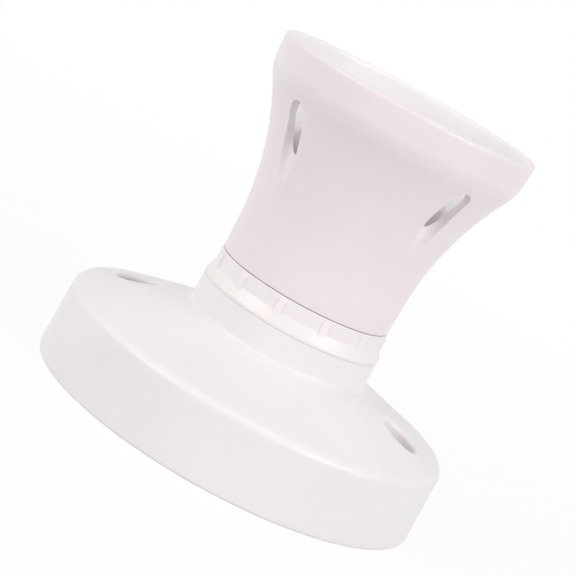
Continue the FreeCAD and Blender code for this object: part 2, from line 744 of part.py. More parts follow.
def make_screw(label, head, head_height, shank, length, across, along, up):
    """A slotted screw with its shank upwards, seated under the given height."""
    body = new_body(label)
    revolve(body, label + "_form", [
        (ZERO, -head_height),
        (head, -head_height),
        (head, ZERO),
        (shank, ZERO),
        (shank, length),
        (ZERO, length),
    ])
    slot = new_sketch(body, label + "_slot_plan", "XY_Plane", -head_height)
    half = dims.slot_width / 2
    draw_rectangle(slot, -head, head, -half, half)
    pocket(body, label + "_slot", slot, dims.slot_depth)
    return place(body, across, along, up)


make_base()
make_core()
make_skirt()
make_shell()
make_leaf()
make_pip()
make_rivet("leaf_rivet", dims.leaf_rivet_offset, ZERO, strip_bottom,
           floor_top + dims.leaf_sheet)
shell_floor = floor_top + dims.shell_sheet
make_rivet("neutral_rivet", -rivet_circle, ZERO, strip_bottom, shell_floor)
make_strip("live_terminal", dims.live_strip_start, strip_reach,
           live_screw_across, dims.leaf_rivet_offset)
make_strip("neutral_terminal", -strip_reach, -dims.neutral_strip_start,
           neutral_screw_across, -rivet_circle)
for place_name, sign in (("back", 1), ("front", -1)):
    make_rivet("shell_rivet_" + place_name, rivet_across, rivet_along * sign,
               floor_bottom, shell_floor)
    for pole, screw_across in (("live", live_screw_across),
                               ("neutral", neutral_screw_across)):
        make_clamp_plate(f"{pole}_clamp_plate_{place_name}", screw_across, half_pitch * sign)
        make_screw(f"{pole}_clamp_screw_{place_name}", dims.clamp_head, dims.clamp_head_height,
                   dims.clamp_shank, dims.clamp_shank_length, screw_across,
                   half_pitch * sign, strip_bottom - dims.plate_sheet)
    make_screw("core_screw_" + place_name, dims.core_screw_head, dims.core_screw_head_height,
               dims.core_screw_shank, dims.ledge_thickness + dims.core_screw_length,
               ZERO, boss_offset * sign, ledge_bottom)

doc.recompute()
for feature in doc.Objects:
    if "Invalid" in feature.State or "Error" in feature.State:
        raise RuntimeError(f"{feature.Label} failed: {feature.State}")

os.makedirs("parts", exist_ok=True)
for body in doc.Objects:
    if body.TypeId != "PartDesign::Body":
        continue
    if body.Shape.isNull() or not body.Shape.isValid() or len(body.Shape.Solids) != 1:
        raise RuntimeError(f"{body.Label} is not one valid solid")
    body.Shape.exportStep(f"parts/{body.Label}.step")
    box = body.Shape.BoundBox
    print(f"{body.Label}: {body.Shape.Volume:.1f} mm3, z {box.ZMin:.2f} to {box.ZMax:.2f}, "
          f"x {box.XMin:.2f} to {box.XMax:.2f}")
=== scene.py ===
# %% [markdown]
# # A white lamp holder, dressed for the camera
#
# The real object is three white mouldings on one axis: a round base that is screwed to the
# ceiling, an insulating core that carries the metal parts, and a trumpet-shaped skirt that
# is screwed on the core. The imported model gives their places. Here each one is made again
# with the roundings, threads and surface that the camera can see.

# %% Load the frame
import json
import math

import bmesh
import bpy
from mathutils import Matrix, Vector


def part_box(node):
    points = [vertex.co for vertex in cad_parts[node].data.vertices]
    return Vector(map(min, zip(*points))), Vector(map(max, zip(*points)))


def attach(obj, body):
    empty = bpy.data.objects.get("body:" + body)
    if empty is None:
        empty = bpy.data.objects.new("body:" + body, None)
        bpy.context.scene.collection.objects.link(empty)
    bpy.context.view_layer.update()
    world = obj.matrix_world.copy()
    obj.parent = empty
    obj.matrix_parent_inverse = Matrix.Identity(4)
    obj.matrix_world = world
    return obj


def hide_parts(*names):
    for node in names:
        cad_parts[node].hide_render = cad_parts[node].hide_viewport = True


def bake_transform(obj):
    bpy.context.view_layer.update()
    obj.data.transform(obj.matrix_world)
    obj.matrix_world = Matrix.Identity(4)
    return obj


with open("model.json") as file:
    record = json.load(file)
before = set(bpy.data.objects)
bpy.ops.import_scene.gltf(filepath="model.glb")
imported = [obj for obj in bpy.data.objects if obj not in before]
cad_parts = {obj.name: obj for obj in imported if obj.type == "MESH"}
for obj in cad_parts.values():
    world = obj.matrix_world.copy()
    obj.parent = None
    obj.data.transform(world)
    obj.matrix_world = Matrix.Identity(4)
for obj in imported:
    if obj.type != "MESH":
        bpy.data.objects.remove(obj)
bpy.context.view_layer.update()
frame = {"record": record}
MM = 0.001


# %% [markdown]
# ## Sizes
#
# The heights of each piece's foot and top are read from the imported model, so the looks follow
# it. A round piece's box is a little small, because its outline is made of short straight
# edges, so radii, and sizes that no box shows, are written here as the piece was drawn. Every
# length is in millimetres until a mesh is made.

# %% Heights from the frame, in millimetres
def bottom(node):
    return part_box(node)[0].z / MM


def top(node):
    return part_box(node)[1].z / MM


def middle_of(node):
    low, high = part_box(node)
    return ((low.x + high.x) / 2 / MM, (low.y + high.y) / 2 / MM)


mounts = {mount["name"]: mount for mount in frame["record"]["mounts"]}
neck_top = top("mounting_base")
core_top = top("holder_core")
floor_top = bottom("screw_shell")
shell_top = top("screw_shell")
skirt_bottom = bottom("flared_skirt")
rim_top = top("flared_skirt")
leaf_top = top("contact_leaf")
floor_bottom = top("live_terminal")
fixing_offset = mounts["fixing_holes"]["dims"]["spacing_x_mm"] / 2
core_screw_offset = middle_of("core_screw_back")[1]
shell_bore = mounts["lamp_socket"]["dims"]["r_mm"]
print("neck", round(neck_top, 2), "skirt from", round(skirt_bottom, 2), "to", round(rim_top, 2))


# %% [markdown]
# ## Camera
#
# The photograph looks slightly down at the holder with a long lens, and the camera is
# rolled, so that the upright holder leans to the right in the picture. The camera is set
# up in that order: distance and height, pitch, then roll about the line of sight.

# %% Camera
CAMERA_AZIMUTH = 9.5
CAMERA_DISTANCE = 440.5
CAMERA_HEIGHT = 116.5
CAMERA_LEFT = 3.47
CAMERA_PITCH = 10.46
CAMERA_ROLL = 28.9
LENS = 130.73

camera = bpy.data.objects.new("photo_camera", bpy.data.cameras.new("photo_camera"))
bpy.context.collection.objects.link(camera)
bpy.context.scene.camera = camera
camera.data.lens = LENS
camera.data.sensor_width = 36.0
camera.data.clip_end = 20.0
azimuth = math.radians(CAMERA_AZIMUTH)
towards = Vector((math.sin(azimuth), -math.cos(azimuth), 0))
rightwards = Vector((math.cos(azimuth), math.sin(azimuth), 0))
stand = towards * CAMERA_DISTANCE - rightwards * CAMERA_LEFT + Vector((0, 0, CAMERA_HEIGHT))
facing = (Matrix.Rotation(azimuth, 4, "Z")
          @ Matrix.Rotation(math.radians(90 - CAMERA_PITCH), 4, "X")
          @ Matrix.Rotation(math.radians(CAMERA_ROLL), 4, "Z"))
camera.matrix_world = Matrix.Translation(stand * MM) @ facing
bpy.context.scene.view_settings.view_transform = "Standard"
print("camera at", [round(value, 4) for value in camera.matrix_world.translation])


# %% [markdown]
# ## Shader arithmetic
#
# A finish is mostly arithmetic on noise. Wiring each Math node by hand hides that, so one
# small class wraps a node's output and lets the finish be written as a formula.

# %% Shader arithmetic
class Wire:
    """The output of a shader node, which can be used in formulas."""

    def __init__(self, tree, socket):
        self.tree = tree
        self.socket = socket

    def node(self, kind, settings=None, sockets=None, output=0):
        return add_node(self.tree, kind, settings, sockets, output)

    def math(self, operation, first, second):
        return self.node("ShaderNodeMath", {"operation": operation}, {0: first, 1: second})

    def __add__(self, other):
        return self.math("ADD", self, other)

    __radd__ = __add__

    def __sub__(self, other):
        return self.math("SUBTRACT", self, other)

    def __rsub__(self, other):
        return self.math("SUBTRACT", other, self)

    def __mul__(self, other):
        return self.math("MULTIPLY", self, other)

    __rmul__ = __mul__

    def stretch(self, across, along, up):
        """A vector with each of its parts scaled."""
        return self.node("ShaderNodeVectorMath", {"operation": "MULTIPLY"},
                         {0: self, 1: (across, along, up)})

    def between(self, low, high):
        """0 below low, 1 above high, and a soft step between them."""
        return self.node("ShaderNodeMapRange", {"interpolation_type": "SMOOTHSTEP"},
                         {"Value": self, "From Min": low, "From Max": high})

    def tint(self, colour_at_0, colour_at_1):
        """A colour that follows this value."""
        return self.node("ShaderNodeMix", {"data_type": "RGBA"},
                         {0: self, 6: (*colour_at_0, 1), 7: (*colour_at_1, 1)}, 2)

    def blend(self, colour_at_0, colour_at_1):
        """The same between a colour that varies and one that doesn't."""
        return self.node("ShaderNodeMix", {"data_type": "RGBA"},
                         {0: self, 6: colour_at_0, 7: (*colour_at_1, 1)}, 2)


def add_node(tree, kind, settings=None, sockets=None, output=0):
    """Adds a node, sets it up, and gives back one of its outputs."""
    node = tree.nodes.new(kind)
    for name, value in (settings or {}).items():
        setattr(node, name, value)
    for name, value in (sockets or {}).items():
        if isinstance(value, Wire):
            tree.links.new(value.socket, node.inputs[name])
        else:
            node.inputs[name].default_value = value
    return None if output is None else Wire(tree, node.outputs[output])


class Finish:
    """A material with its own coordinates, in millimetres of the object."""

    def __init__(self, name):
        self.material = bpy.data.materials.new(name)
        self.material.use_nodes = True
        self.tree = self.material.node_tree
        self.surface = self.tree.nodes["Principled BSDF"]
        place = add_node(self.tree, "ShaderNodeTexCoord", output=3)
        self.place = place.stretch(1 / MM, 1 / MM, 1 / MM)

    def noise(self, size, detail=2.0, roughness=0.5, where=None):
        """Cloudy noise between 0 and 1, with lumps of about the given size."""
        return add_node(self.tree, "ShaderNodeTexNoise", None,
                        {"Vector": where or self.place, "Scale": 1 / size,
                         "Detail": detail, "Roughness": roughness})

    def set(self, socket, value):
        if isinstance(value, Wire):
            self.tree.links.new(value.socket, self.surface.inputs[socket])
        else:
            self.surface.inputs[socket].default_value = value

    def relief(self, height, depth):
        """Bumps of the given depth in millimetres, where height goes from 0 to 1."""
        bump = add_node(self.tree, "ShaderNodeBump", None,
                        {"Height": height, "Strength": 1.0, "Distance": depth * MM})
        self.set("Normal", bump)


# %% [markdown]
# ## White moulded plastic
#
# The photograph shows a satin plastic that is almost white and a little pink. A moulding is
# never quite even: the melt cools in soft clouds, so colour and gloss drift over
# centimetres, and the polished steel of the mould leaves a fine grain. All three are noise
# of different sizes. The three mouldings come from different batches, so each has a tint of
# its own. The skirt's inside is given a whiter colour than its outside, as painted light for
# the light that falls into its mouth. Which side a point is on follows from its normal:
# inside, it points to the axis.

# %% White moulded plastic
CLOUD_SIZE = 19.0
FLOW_SIZE = 6.0
GRAIN_SIZE = 0.22
SINK_SIZE = 9.0
CLOUD_SHADE = 0.975
SURFACE_RELIEF = 0.05
INNER_LIGHT_TURN = (-0.1, 0.5)


def inner_light_mask(finish):
    """0 where the surface faces away from the upright axis, 1 where it faces the axis: the mask of the
    painted light inside the skirt.
    """
    facing = add_node(finish.tree, "ShaderNodeTexCoord", output=1)
    flat = finish.place.stretch(1.0, 1.0, 0.0)
    outwards = flat.node("ShaderNodeVectorMath", {"operation": "NORMALIZE"}, {0: flat})
    turned = facing.node("ShaderNodeVectorMath", {"operation": "DOT_PRODUCT"},
                         {0: facing, 1: outwards}, 1)
    return (0 - turned).between(*INNER_LIGHT_TURN)


def moulded_plastic(name, colour, warmth, gloss, inside=None):
    finish = Finish(name)
    clouds = finish.noise(CLOUD_SIZE, 2.0, 0.55)
    flow = finish.noise(FLOW_SIZE, 3.0, 0.5, finish.place.stretch(1.0, 1.0, 0.35))
    drift = clouds * 0.65 + flow * 0.35
    darker = tuple(part * CLOUD_SHADE for part in colour)
    warmer = tuple(part * shade for part, shade in zip(colour, warmth))
    shade = drift.between(0.3, 0.7).tint(darker, warmer)
    # Painted light: faces that point to the axis take the whiter inside colour, for the light that
    # falls into the skirt's mouth.
    if inside:
        shade = inner_light_mask(finish).blend(shade, inside)
    finish.set("Base Color", shade)
    finish.set("Roughness", gloss + (flow - 0.5) * 0.10)
    finish.set("IOR", 1.49)
    finish.set("Subsurface Weight", 0.3)
    finish.set("Subsurface Radius", (1.0, 0.75, 0.65))
    finish.set("Subsurface Scale", 1.0 * MM)
    grain = finish.noise(GRAIN_SIZE, 2.0, 0.6)
    sink = finish.noise(SINK_SIZE, 1.0, 0.4)
    finish.relief(grain * 0.18 + sink * 0.82, SURFACE_RELIEF)
    return finish.material


base_plastic = moulded_plastic("base_plastic", (0.878, 0.84, 0.855), (1.0, 1.0, 1.0), 0.36)
core_plastic = moulded_plastic("core_plastic", (0.893, 0.84, 0.848), (1.0, 0.995, 0.985), 0.34)
# The skirt's inside colour is painted light, a whiter tone on its inner faces for the light inside its
# mouth.
skirt_plastic = moulded_plastic("skirt_plastic", (0.871, 0.79, 0.812), (1.0, 1.0, 1.005), 0.34,
                               inside=(0.917, 0.89, 0.911))
print("plastics ready")


# %% [markdown]
# ## Metal
#
# The lamp's shell is thin nickel-plated sheet, the contacts are bare brass and the screws
# zinc-plated steel. On each the colour is close to even, and what shows is how the gloss
# breaks up: fine drawing lines round the shell, tarnish on the brass, dull crystals on zinc.

# %% Metal
def plated_metal(name, bright, dull, gloss, line_shape, lump):
    finish = Finish(name)
    lines = finish.noise(lump, 3.0, 0.6, finish.place.stretch(*line_shape))
    stain = finish.noise(3.5, 3.0, 0.6)
    finish.set("Base Color", stain.between(0.35, 0.75).tint(bright, dull))
    finish.set("Metallic", 1.0)
    finish.set("Roughness", gloss + lines * 0.16 + stain * 0.08)
    finish.relief(lines, 0.01)
    return finish.material


nickel = plated_metal("nickel_sheet", (0.74, 0.71, 0.66), (0.60, 0.56, 0.50), 0.14,
                      (0.15, 0.15, 3.0), 0.5)
brass = plated_metal("bare_brass", (0.82, 0.62, 0.30), (0.58, 0.41, 0.20), 0.18,
                     (1.0, 1.0, 1.0), 0.6)
zinc = plated_metal("zinc_steel", (0.72, 0.73, 0.75), (0.55, 0.56, 0.58), 0.22,
                    (1.0, 1.0, 1.0), 0.4)
print("metals ready")


# %% [markdown]
# ## Turned forms
#
# Nearly every piece here is round. A lathe function that takes an outline, with a rounding
# at each corner, makes them all. The roundings are real geometry, because on a glossy white
# piece a sharp edge is the first thing that looks wrong.

# %% Outlines with rounded corners
CORNER_STEPS = 6
LONGEST_EDGE = 1.2


def rounded(corners, steps=CORNER_STEPS):
    """A closed outline from corners of (radius, height, rounding)."""
    outline = []
    for index, (across, up, rounding) in enumerate(corners):
        here = Vector((across, up))
        if not rounding:
            outline.append(here)
            continue
        before = Vector(corners[index - 1][:2]) - here
        after = Vector(corners[(index + 1) % len(corners)][:2]) - here
        before.normalize()
        after.normalize()
        half = before.angle(after) / 2
        centre = here + (before + after).normalized() * (rounding / math.sin(half))
        start = here + before * (rounding / math.tan(half)) - centre
        end = here + after * (rounding / math.tan(half)) - centre
        outline += [centre + start.slerp(end, step / steps) * rounding
                    for step in range(steps + 1)]
    return outline


def finely_divided(outline, longest=LONGEST_EDGE):
    """The same outline with its long straight edges divided."""
    points = []
    for index, start in enumerate(outline):
        end = outline[(index + 1) % len(outline)]
        pieces = max(1, math.ceil((end - start).length / longest))
        points += [start.lerp(end, step / pieces) for step in range(pieces)]
    return points


# %% Meshes
def make_piece(name, points, faces, material):
    """A mesh object from points in millimetres."""
    mesh = bpy.data.meshes.new(name)
    mesh.from_pydata([tuple(value * MM for value in point) for point in points], [], faces)
    shape = bmesh.new()
    shape.from_mesh(mesh)
    bmesh.ops.remove_doubles(shape, verts=shape.verts, dist=1e-7)
    bmesh.ops.recalc_face_normals(shape, faces=shape.faces)
    shape.to_mesh(mesh)
    shape.free()
    mesh.materials.append(material)
    piece = bpy.data.objects.new(name, mesh)
    bpy.context.collection.objects.link(piece)
    return piece


def lathe(name, outline, material, segments=192, centre=(0.0, 0.0)):
    """Turns a closed outline about an upright axis."""
    points = []
    for segment in range(segments):
        angle = 2 * math.pi * segment / segments
        for across, up in outline:
            points.append((centre[0] + across * math.cos(angle),
                           centre[1] + across * math.sin(angle), up))
    count = len(outline)
    faces = []
    for segment in range(segments):
        near = segment * count
        far = (segment + 1) % segments * count
        for index in range(count):
            following = (index + 1) % count
            faces.append((near + index, far + index, far + following, near + following))
    return make_piece(name, points, faces, material)


def smooth(piece, angle=32):
    """Smooth shading, with edges sharper than the angle left crisp."""
    piece.data.shade_smooth()
    piece.data.set_sharp_from_angle(angle=math.radians(angle))
    return piece


def settle(piece):
    """Replaces a piece's modifiers by the mesh that they give."""
    bpy.context.view_layer.update()
    depsgraph = bpy.context.evaluated_depsgraph_get()
    mesh = bpy.data.meshes.new_from_object(piece.evaluated_get(depsgraph))
    finish = piece.data.materials[0]
    mesh.materials.clear()
    mesh.materials.append(finish)
    for face in mesh.polygons:
        face.material_index = 0
    piece.modifiers.clear()
    piece.data = mesh
    return piece


def carve(piece, operation, tool):
    """Cuts a closed mesh out of a piece, or adds it, and clears the tool away."""
    step = piece.modifiers.new(operation, "BOOLEAN")
    step.operation = operation
    step.solver = "EXACT"
    step.object = tool
    settle(piece)
    bpy.data.objects.remove(tool)
    return piece


def ease_edges(piece, width, angle=50, steps=2):
    """Breaks the sharp edges that a cut has left."""
    bevel = piece.modifiers.new("eased", "BEVEL")
    bevel.width = width * MM
    bevel.segments = steps
    bevel.limit_method = "ANGLE"
    bevel.angle_limit = math.radians(angle)
    bevel.use_clamp_overlap = True
    return settle(piece)


def join(name, pieces):
    """Joins closed meshes into one piece."""
    shape = bmesh.new()
    for piece in pieces:
        shape.from_mesh(piece.data)
    mesh = bpy.data.meshes.new(name)
    shape.to_mesh(mesh)
    shape.free()
    mesh.materials.append(pieces[0].data.materials[0])
    for piece in pieces:
        bpy.data.objects.remove(piece)
    joined = bpy.data.objects.new(name, mesh)
    bpy.context.collection.objects.link(joined)
    return joined


def box_between(name, low, high, material):
    """A box from its low corner to its high corner, in millimetres."""
    points = [(x, y, z) for x in (low[0], high[0]) for y in (low[1], high[1])
              for z in (low[2], high[2])]
    faces = [(0, 1, 3, 2), (4, 6, 7, 5), (0, 4, 5, 1), (2, 3, 7, 6), (0, 2, 6, 4), (1, 5, 7, 3)]
    return make_piece(name, points, faces, material)


def dress(piece, body, slot, *nodes):
    """Says which body a piece rides on and which nodes it stands for; the finish's slot is not used.
    """
    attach(piece, body)
    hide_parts(*nodes)
    print(piece.name, len(piece.data.polygons), "faces")
    return piece


# %% [markdown]
# ## The mounting base
#
# The base is a hollow moulding, open at the back: side wall, soft shoulder, conical roof,
# neck, and a ledge inside that carries the core. The lathe makes that shell. The tubes round
# the fixing holes are added to it and the wells are cut, so that the well's mouth follows
# the cone as on the real piece. The drill that cuts a well is flared at the top, and the
# flare is lowered with the roof, which gives the mouth a soft edge all round. The ribs under
# the roof are thin plates that end in it.

# %% The base's shell
BASE_RADIUS = 45.0
BASE_LEAN = 0.4
BASE_WALL = 2.2
SHOULDER_HEIGHT = 16.4
ROOF_HEIGHT = 24.0
ROOF_WALL = 2.2
NECK_RADIUS = 20.95
NECK_BORE = 18.95
LEDGE_LOW = 15.0
LEDGE_HIGH = 17.5
WIRE_HOLE = mounts["wire_entry"]["dims"]["r_mm"]
shoulder_radius = BASE_RADIUS - BASE_LEAN
roof_slope = (ROOF_HEIGHT - SHOULDER_HEIGHT) / (shoulder_radius - NECK_RADIUS)


def roof_at(radius):
    return ROOF_HEIGHT - roof_slope * (radius - NECK_RADIUS)


wall_inside = BASE_RADIUS - BASE_WALL
base = lathe("base_moulding", finely_divided(rounded([
    (wall_inside, 0.0, 0.3),
    (BASE_RADIUS, 0.0, 0.6),
    (shoulder_radius, SHOULDER_HEIGHT, 1.9),
    (NECK_RADIUS, ROOF_HEIGHT, 1.0),
    (NECK_RADIUS, neck_top, 0.12),
    (NECK_BORE, neck_top, 0.2),
    (NECK_BORE, LEDGE_HIGH, 0.3),
    (WIRE_HOLE, LEDGE_HIGH, 0.3),
    (WIRE_HOLE, LEDGE_LOW, 0.3),
    (NECK_RADIUS, LEDGE_LOW, 0.3),
    (NECK_RADIUS, ROOF_HEIGHT - ROOF_WALL, 0.5),
    (wall_inside - BASE_LEAN, roof_at(wall_inside - BASE_LEAN) - ROOF_WALL, 1.0),
])), base_plastic, segments=240)

# %% Tubes, wells and ribs
WELL_RADIUS = 4.5
WELL_WALL = 1.8
WELL_SEAT = 5.0
MOUTH_ROUNDING = 1.1
MOUTH_STEPS = 6
FOOT_CHAMFER = 0.3
RIB_COUNT = 8
RIB_THICKNESS = 1.4
RIB_LOW = 12.5
LEDGE_HOLE = 1.9
FIXING_HOLE = mounts["fixing_holes"]["dims"]["hole_r_mm"]


def under_the_roof(piece):
    """Moves the upper points of a piece to the middle of the roof above them."""
    for vertex in piece.data.vertices:
        if vertex.co.z > SHOULDER_HEIGHT * 0.9 * MM:
            radius = Vector(vertex.co[:2]).length / MM
            vertex.co.z = (roof_at(radius) - ROOF_WALL / 2) * MM
    return piece


def lowered_with_the_roof(piece):
    """Lowers the upper points of a piece by as much as the roof has fallen at their place."""
    for vertex in piece.data.vertices:
        if vertex.co.z > SHOULDER_HEIGHT * MM:
            vertex.co.z += (roof_at(Vector(vertex.co[:2]).length / MM) - ROOF_HEIGHT) * MM
    return piece


def well_drill():
    """The outline of a drill with a seat for the screw's head and a flared top."""
    outline = [Vector((0.0, -1.0)), Vector((FIXING_HOLE + FOOT_CHAMFER + 1.0, -1.0)),
               Vector((FIXING_HOLE, FOOT_CHAMFER)), Vector((FIXING_HOLE, WELL_SEAT)),
               Vector((WELL_RADIUS, WELL_SEAT))]
    for step in range(MOUTH_STEPS):
        angle = math.pi / 2 * step / MOUTH_STEPS
        outline.append(Vector((WELL_RADIUS + MOUTH_ROUNDING * (1 - math.cos(angle)),
                               ROOF_HEIGHT - MOUTH_ROUNDING * (1 - math.sin(angle)))))
    return outline + [Vector((outline[-1].x, ROOF_HEIGHT + 3)), Vector((0.0, ROOF_HEIGHT + 3))]


tubes = []
drills = []
for side in (1, -1):
    spot = (side * fixing_offset, 0.0)
    tube_radius = WELL_RADIUS + WELL_WALL
    tube = lathe("well_tube", rounded([
        (0.0, 0.0, 0), (tube_radius, 0.0, 0.2), (tube_radius, ROOF_HEIGHT, 0),
        (0.0, ROOF_HEIGHT, 0)]), base_plastic, segments=64, centre=spot)
    tubes.append(under_the_roof(tube))
    well = lathe("well", well_drill(), base_plastic, segments=64, centre=spot)
    drills.append(lowered_with_the_roof(well))
    drills.append(lathe("ledge_drill", [
        Vector((0.0, LEDGE_LOW - 1)), Vector((LEDGE_HOLE, LEDGE_LOW - 1)),
        Vector((LEDGE_HOLE, LEDGE_HIGH + 1)), Vector((0.0, LEDGE_HIGH + 1))],
        base_plastic, segments=40, centre=(0.0, side * core_screw_offset)))
carve(base, "UNION", join("well_tubes", tubes))
carve(base, "DIFFERENCE", join("drills", drills))
ribs = []
for number in range(RIB_COUNT):
    half = RIB_THICKNESS / 2
    rib = box_between("rib", (NECK_BORE + 1.0, -half, RIB_LOW),
                      (wall_inside, half, ROOF_HEIGHT), base_plastic)
    under_the_roof(rib)
    rib.data.transform(Matrix.Rotation(2 * math.pi * (number + 0.5) / RIB_COUNT, 4, "Z"))
    ribs.append(ease_edges(rib, 0.2))
base = smooth(join("base_moulding", [base] + ribs))
dress(base, "holder", "base_plastic", "mounting_base")


# %% [markdown]
# ## The skirt
#
# The flare is one arc that leaves the waist upright, so two radii and a height give the
# whole trumpet. Each vent is a round-bottomed channel parallel to the axis: the mould pulls
# out along it, and where the flare passes the channel's floor, the wall opens into a slot
# with a pointed foot and an arched top. Cutting with that same channel gives the same form.

# %% The trumpet
SKIRT_BORE = 18.08
SKIRT_WALL = 1.75
WAIST_LEAN = 0.19
WAIST_HEIGHT = 5.15
FLARE_HEIGHT = 32.6
FLARE_GROWTH = 8.48
LIP_STEP = 0.84
LIP_STEP_HEIGHT = 2.3
LIP_LEAN = 0.43
LIP_WALL = 1.7
FLARE_STEPS = 40
FLARE_END_ROUNDING = 5.0
LIP_ROUNDING = 7.0
waist_foot = SKIRT_BORE + SKIRT_WALL
waist = waist_foot + WAIST_LEAN
waist_top = skirt_bottom + WAIST_HEIGHT
flare_radius = (FLARE_HEIGHT ** 2 + FLARE_GROWTH ** 2) / (2 * FLARE_GROWTH)
flare_end = math.asin(FLARE_HEIGHT / flare_radius)
flare_top = waist_top + FLARE_HEIGHT
lip_foot = waist + FLARE_GROWTH
lip = lip_foot + LIP_STEP
lip_bottom = flare_top + LIP_STEP_HEIGHT
rim_radius = lip + LIP_LEAN


def flare_arc(inset):
    """Points of the flare, from the waist up, at a distance inside its outer face."""
    reach = flare_radius + inset
    points = []
    for step in range(FLARE_STEPS + 1):
        angle = flare_end * step / FLARE_STEPS
        points.append((waist + flare_radius - reach * math.cos(angle),
                       waist_top + reach * math.sin(angle), 0))
    points[-1] = (*points[-1][:2], FLARE_END_ROUNDING)
    return points


skirt_outline = ([(SKIRT_BORE, skirt_bottom, 0.3), (waist_foot, skirt_bottom, 0.12)]
                 + flare_arc(0.0)
                 + [(lip, lip_bottom, LIP_ROUNDING), (rim_radius, rim_top, 0.8),
                    (rim_radius - LIP_WALL, rim_top, 0.8),
                    (lip - LIP_WALL, lip_bottom, LIP_ROUNDING)]
                 + flare_arc(SKIRT_WALL)[::-1])
skirt = lathe("skirt_moulding", finely_divided(rounded(skirt_outline), 0.9), skirt_plastic, 256)

# %% Vents
VENT_COUNT = 4
VENT_TURN = -36.5
VENT_HALF = 2.45
VENT_DEPTH = 1.5
VENT_LIP_GAP = 1.4
ARC_STEPS = 24


def vent_channel(turn):
    """A channel along the axis with a round floor and an arched top."""
    middle = waist + VENT_DEPTH + VENT_HALF
    spring = flare_top - VENT_LIP_GAP - VENT_HALF
    outside = rim_radius + 2
    points = []
    for step in range(ARC_STEPS + 1):
        angle = math.pi * (step / ARC_STEPS - 0.5)
        along = VENT_HALF * math.sin(angle)
        rise = VENT_HALF * math.cos(angle)
        points += [(middle - rise, along, waist_top), (middle - rise, along, spring + rise),
                   (outside, along, spring + rise), (outside, along, waist_top)]
    faces = [(0, 1, 2, 3), tuple(range(4 * ARC_STEPS, 4 * ARC_STEPS + 4))]
    for step in range(ARC_STEPS):
        for corner in range(4):
            near = 4 * step + corner
            beside = 4 * step + (corner + 1) % 4
            faces.append((near, near + 4, beside + 4, beside))
    channel = make_piece("vent_channel", points, faces, skirt_plastic)
    channel.data.transform(Matrix.Rotation(math.radians(turn), 4, "Z"))
    return channel


# %% Cut the vents and the thread
THREAD_PITCH = 3.0
THREAD_REST = 0.6
WALL_TOLERANCE = 0.06
FLAT_CRESTS = 1.8
ROUND_WAVES = 1.0
SKIRT_THREAD_DEPTH = 0.3
SKIRT_THREAD_LOW = 0.8
SKIRT_THREAD_HIGH = 9.2


def roll_thread(piece, radius, reach, low, high, pitch, flatness, centre=(0.0, 0.0)):
    """Moves the wall at a radius out by reach, or in where it is negative, along a helix.

    A flatness of 1 gives the round waves of rolled sheet, and more gives flat crests.
    """
    middle = Vector(centre) * MM
    for vertex in piece.data.vertices:
        flat = Vector(vertex.co[:2]) - middle
        height = vertex.co.z / MM
        if abs(flat.length / MM - radius) > WALL_TOLERANCE or not low < height < high:
            continue
        turn = height / pitch - math.atan2(flat.y, flat.x) / (2 * math.pi)
        wave = 0.5 + 0.5 * max(-1.0, min(1.0, flatness * math.cos(2 * math.pi * turn)))
        fade = min(1.0, (height - low) / THREAD_REST, (high - height) / THREAD_REST)
        grown = 1 + reach * wave * fade * MM / flat.length
        vertex.co.x = middle.x + flat.x * grown
        vertex.co.y = middle.y + flat.y * grown
    return piece


roll_thread(skirt, SKIRT_BORE, -SKIRT_THREAD_DEPTH, skirt_bottom + SKIRT_THREAD_LOW,
            skirt_bottom + SKIRT_THREAD_HIGH, THREAD_PITCH, FLAT_CRESTS)
channels = [vent_channel(VENT_TURN + number * 360 / VENT_COUNT) for number in range(VENT_COUNT)]
carve(skirt, "DIFFERENCE", join("vent_channels", channels))
ease_edges(skirt, 0.22)
smooth(skirt)
dress(skirt, "skirt", "skirt_plastic", "flared_skirt")


# %% [markdown]
# ## The insulating core
#
# The core is one moulding. Between the base's neck and the skirt it shows a flange that
# slopes up to a ring with small upright ribs for the fingers. Above that, hidden by the
# skirt, are the thread that the skirt runs on and the barrel round the lamp's shell. The
# thread is the lathe's own wall, moved outwards along a helix, so that it has no separate
# parts. Only that wall is divided finely.

# %% The core
FLANGE_RADIUS = 21.0
FLANGE_HEIGHT = 0.8
SLOPE_HEIGHT = 2.4
RING_RADIUS = 20.0
RING_HEIGHT = 3.3
THREAD_CREST = 17.66
THREAD_DEPTH = 0.6
THREAD_LENGTH = 10.0
BARREL_RADIUS = 17.5
BARREL_BORE = 13.85
SPIGOT_RADIUS = 18.65
SPIGOT_DEPTH = 4.4
CHAMBER_RADIUS = 16.45
flange_top = neck_top + FLANGE_HEIGHT
slope_top = flange_top + SLOPE_HEIGHT
ring_top = slope_top + RING_HEIGHT
thread_top = ring_top + THREAD_LENGTH
thread_root = THREAD_CREST - THREAD_DEPTH
THREAD_ROWS = 36
THREAD_START = 0.3
THREAD_RUNOUT = 0.4
thread_low = ring_top + THREAD_START
thread_high = thread_top - THREAD_RUNOUT
thread_wall = [(thread_root, thread_low + (thread_high - thread_low) * row / THREAD_ROWS, 0)
               for row in range(THREAD_ROWS + 1)]
